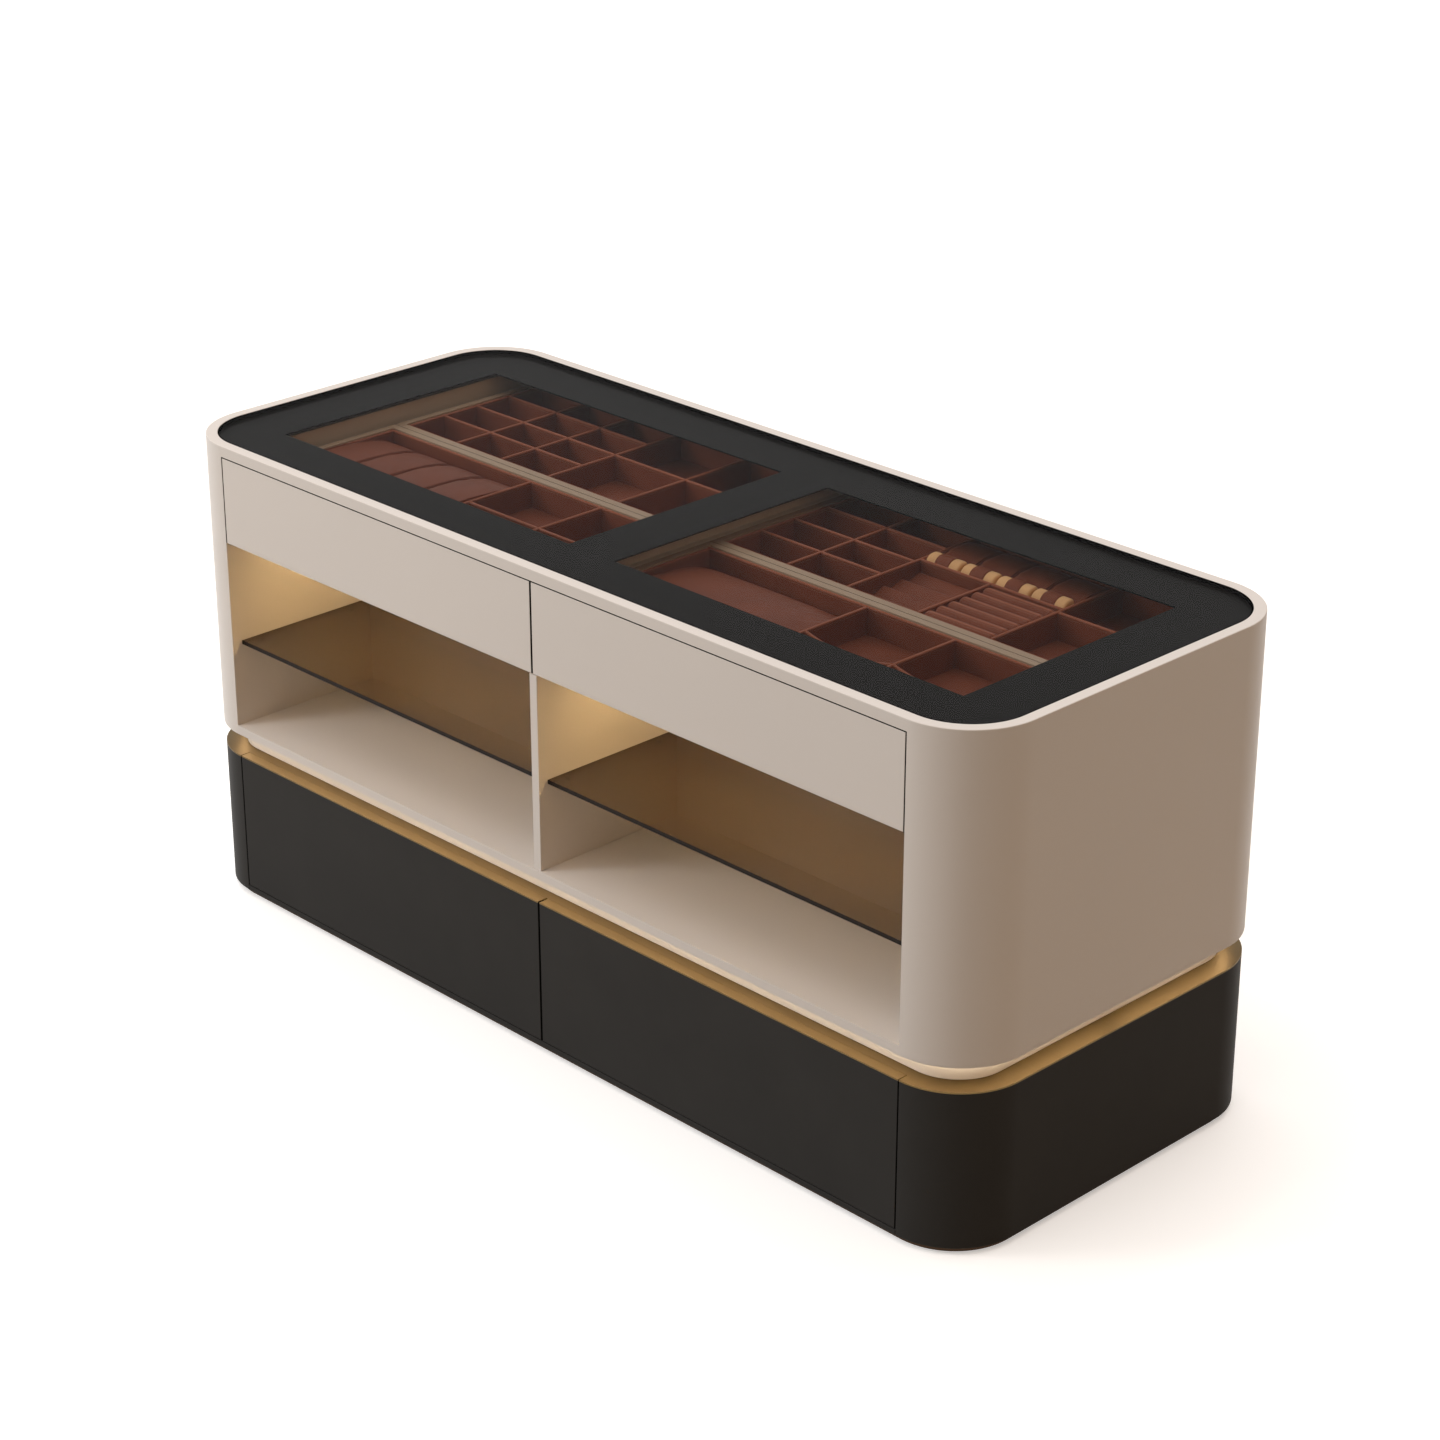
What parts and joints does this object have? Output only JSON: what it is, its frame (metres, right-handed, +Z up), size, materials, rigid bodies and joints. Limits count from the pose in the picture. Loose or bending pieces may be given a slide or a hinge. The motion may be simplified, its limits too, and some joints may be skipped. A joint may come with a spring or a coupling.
{
  "type": "closet island with drawers",
  "caption": "Double-sided wardrobe island: glass top over lined jewellery drawers, lit open niches with smoked glass shelves, and a dark drawer base below a lit brass reveal.",
  "frame": {"origin": "centre of the footprint on the floor", "axes": "+X along the island, +Y from the front side to the rear side, +Z up"},
  "size_m": [2, 0.8, 0.93],
  "materials": {
    "lacquer": "cream satin lacquer on board",
    "black_cladding": "black grained matt cladding on board",
    "brass": "polished brass plate",
    "bronze": "bronze metal-faced board",
    "box_board": "taupe laminated board",
    "leather": "red-brown leather lining",
    "smoked_glass": "bronze smoked glass",
    "top_glass": "grey tinted polished glass",
    "black_border": "black backed glass border",
    "light_bar": "warm white diffuser of a light bar",
    "driver_case": "pale plastic driver case"
  },
  "bodies": {
    "root": {"toe_plinth": "bronze", "base_bottom": "black_cladding", "base_end_left": "black_cladding", "base_end_right": "black_cladding", "base_partition": "box_board", "deck_board": "black_cladding", "brass_deck": "brass", "reveal_plinth": "lacquer", "reveal_light_front": "light_bar", "reveal_light_rear": "light_bar", "case_bottom": "lacquer", "case_end_left": "lacquer", "case_end_right": "lacquer", "top_rail_front": "lacquer", "top_rail_rear": "lacquer", "niche_ceiling": "lacquer", "drawer_partition": "lacquer", "niche_divider_front": "lacquer", "niche_divider_rear": "lacquer", "niche_back_front": "lacquer", "niche_back_rear": "lacquer", "glass_shelf_front_left": "smoked_glass", "glass_shelf_front_right": "smoked_glass", "glass_shelf_rear_left": "smoked_glass", "glass_shelf_rear_right": "smoked_glass", "niche_light_front_left": "light_bar", "niche_light_front_right": "light_bar", "niche_light_rear_left": "light_bar", "niche_light_rear_right": "light_bar", "glass_top": "top_glass", "glass_border": "black_border", "light_driver": "driver_case"},
    "upper_drawer_front_left": {"upper_front_front_left": "lacquer", "upper_box_front_left": "box_board", "tray_front_left": "leather", "watch_cushion_front_left": "leather"},
    "upper_drawer_front_right": {"upper_front_front_right": "lacquer", "upper_box_front_right": "box_board", "tray_front_right": "leather", "necklace_pad_front_right": "leather"},
    "upper_drawer_rear_left": {"upper_front_rear_left": "lacquer", "upper_box_rear_left": "box_board", "tray_rear_left": "leather"},
    "upper_drawer_rear_right": {"upper_front_rear_right": "lacquer", "upper_box_rear_right": "box_board", "tray_rear_right": "leather", "watch_cushion_rear_right": "leather", "ring_roll_rear_right": "leather"},
    "lower_drawer_front_left": {"lower_front_front_left": "black_cladding", "lower_box_front_left": "box_board", "brass_cap_front_left": "brass"},
    "lower_drawer_front_right": {"lower_front_front_right": "black_cladding", "lower_box_front_right": "box_board", "brass_cap_front_right": "brass"},
    "lower_drawer_rear_left": {"lower_front_rear_left": "black_cladding", "lower_box_rear_left": "box_board", "brass_cap_rear_left": "brass"},
    "lower_drawer_rear_right": {"lower_front_rear_right": "black_cladding", "lower_box_rear_right": "box_board", "brass_cap_rear_right": "brass"}
  },
  "joints": [
    {"name": "slide_upper_front_left", "type": "slide", "parent": "root", "child": "upper_drawer_front_left", "axis": [0, -1, 0], "range_m": [0, 0.3]},
    {"name": "slide_upper_front_right", "type": "slide", "parent": "root", "child": "upper_drawer_front_right", "axis": [0, -1, 0], "range_m": [0, 0.3]},
    {"name": "slide_upper_rear_left", "type": "slide", "parent": "root", "child": "upper_drawer_rear_left", "axis": [0, 1, 0], "range_m": [0, 0.3]},
    {"name": "slide_upper_rear_right", "type": "slide", "parent": "root", "child": "upper_drawer_rear_right", "axis": [0, 1, 0], "range_m": [0, 0.3]},
    {"name": "slide_lower_front_left", "type": "slide", "parent": "root", "child": "lower_drawer_front_left", "axis": [0, -1, 0], "range_m": [0, 0.3]},
    {"name": "slide_lower_front_right", "type": "slide", "parent": "root", "child": "lower_drawer_front_right", "axis": [0, -1, 0], "range_m": [0, 0.3]},
    {"name": "slide_lower_rear_left", "type": "slide", "parent": "root", "child": "lower_drawer_rear_left", "axis": [0, 1, 0], "range_m": [0, 0.3]},
    {"name": "slide_lower_rear_right", "type": "slide", "parent": "root", "child": "lower_drawer_rear_right", "axis": [0, 1, 0], "range_m": [0, 0.3]}
  ]
}
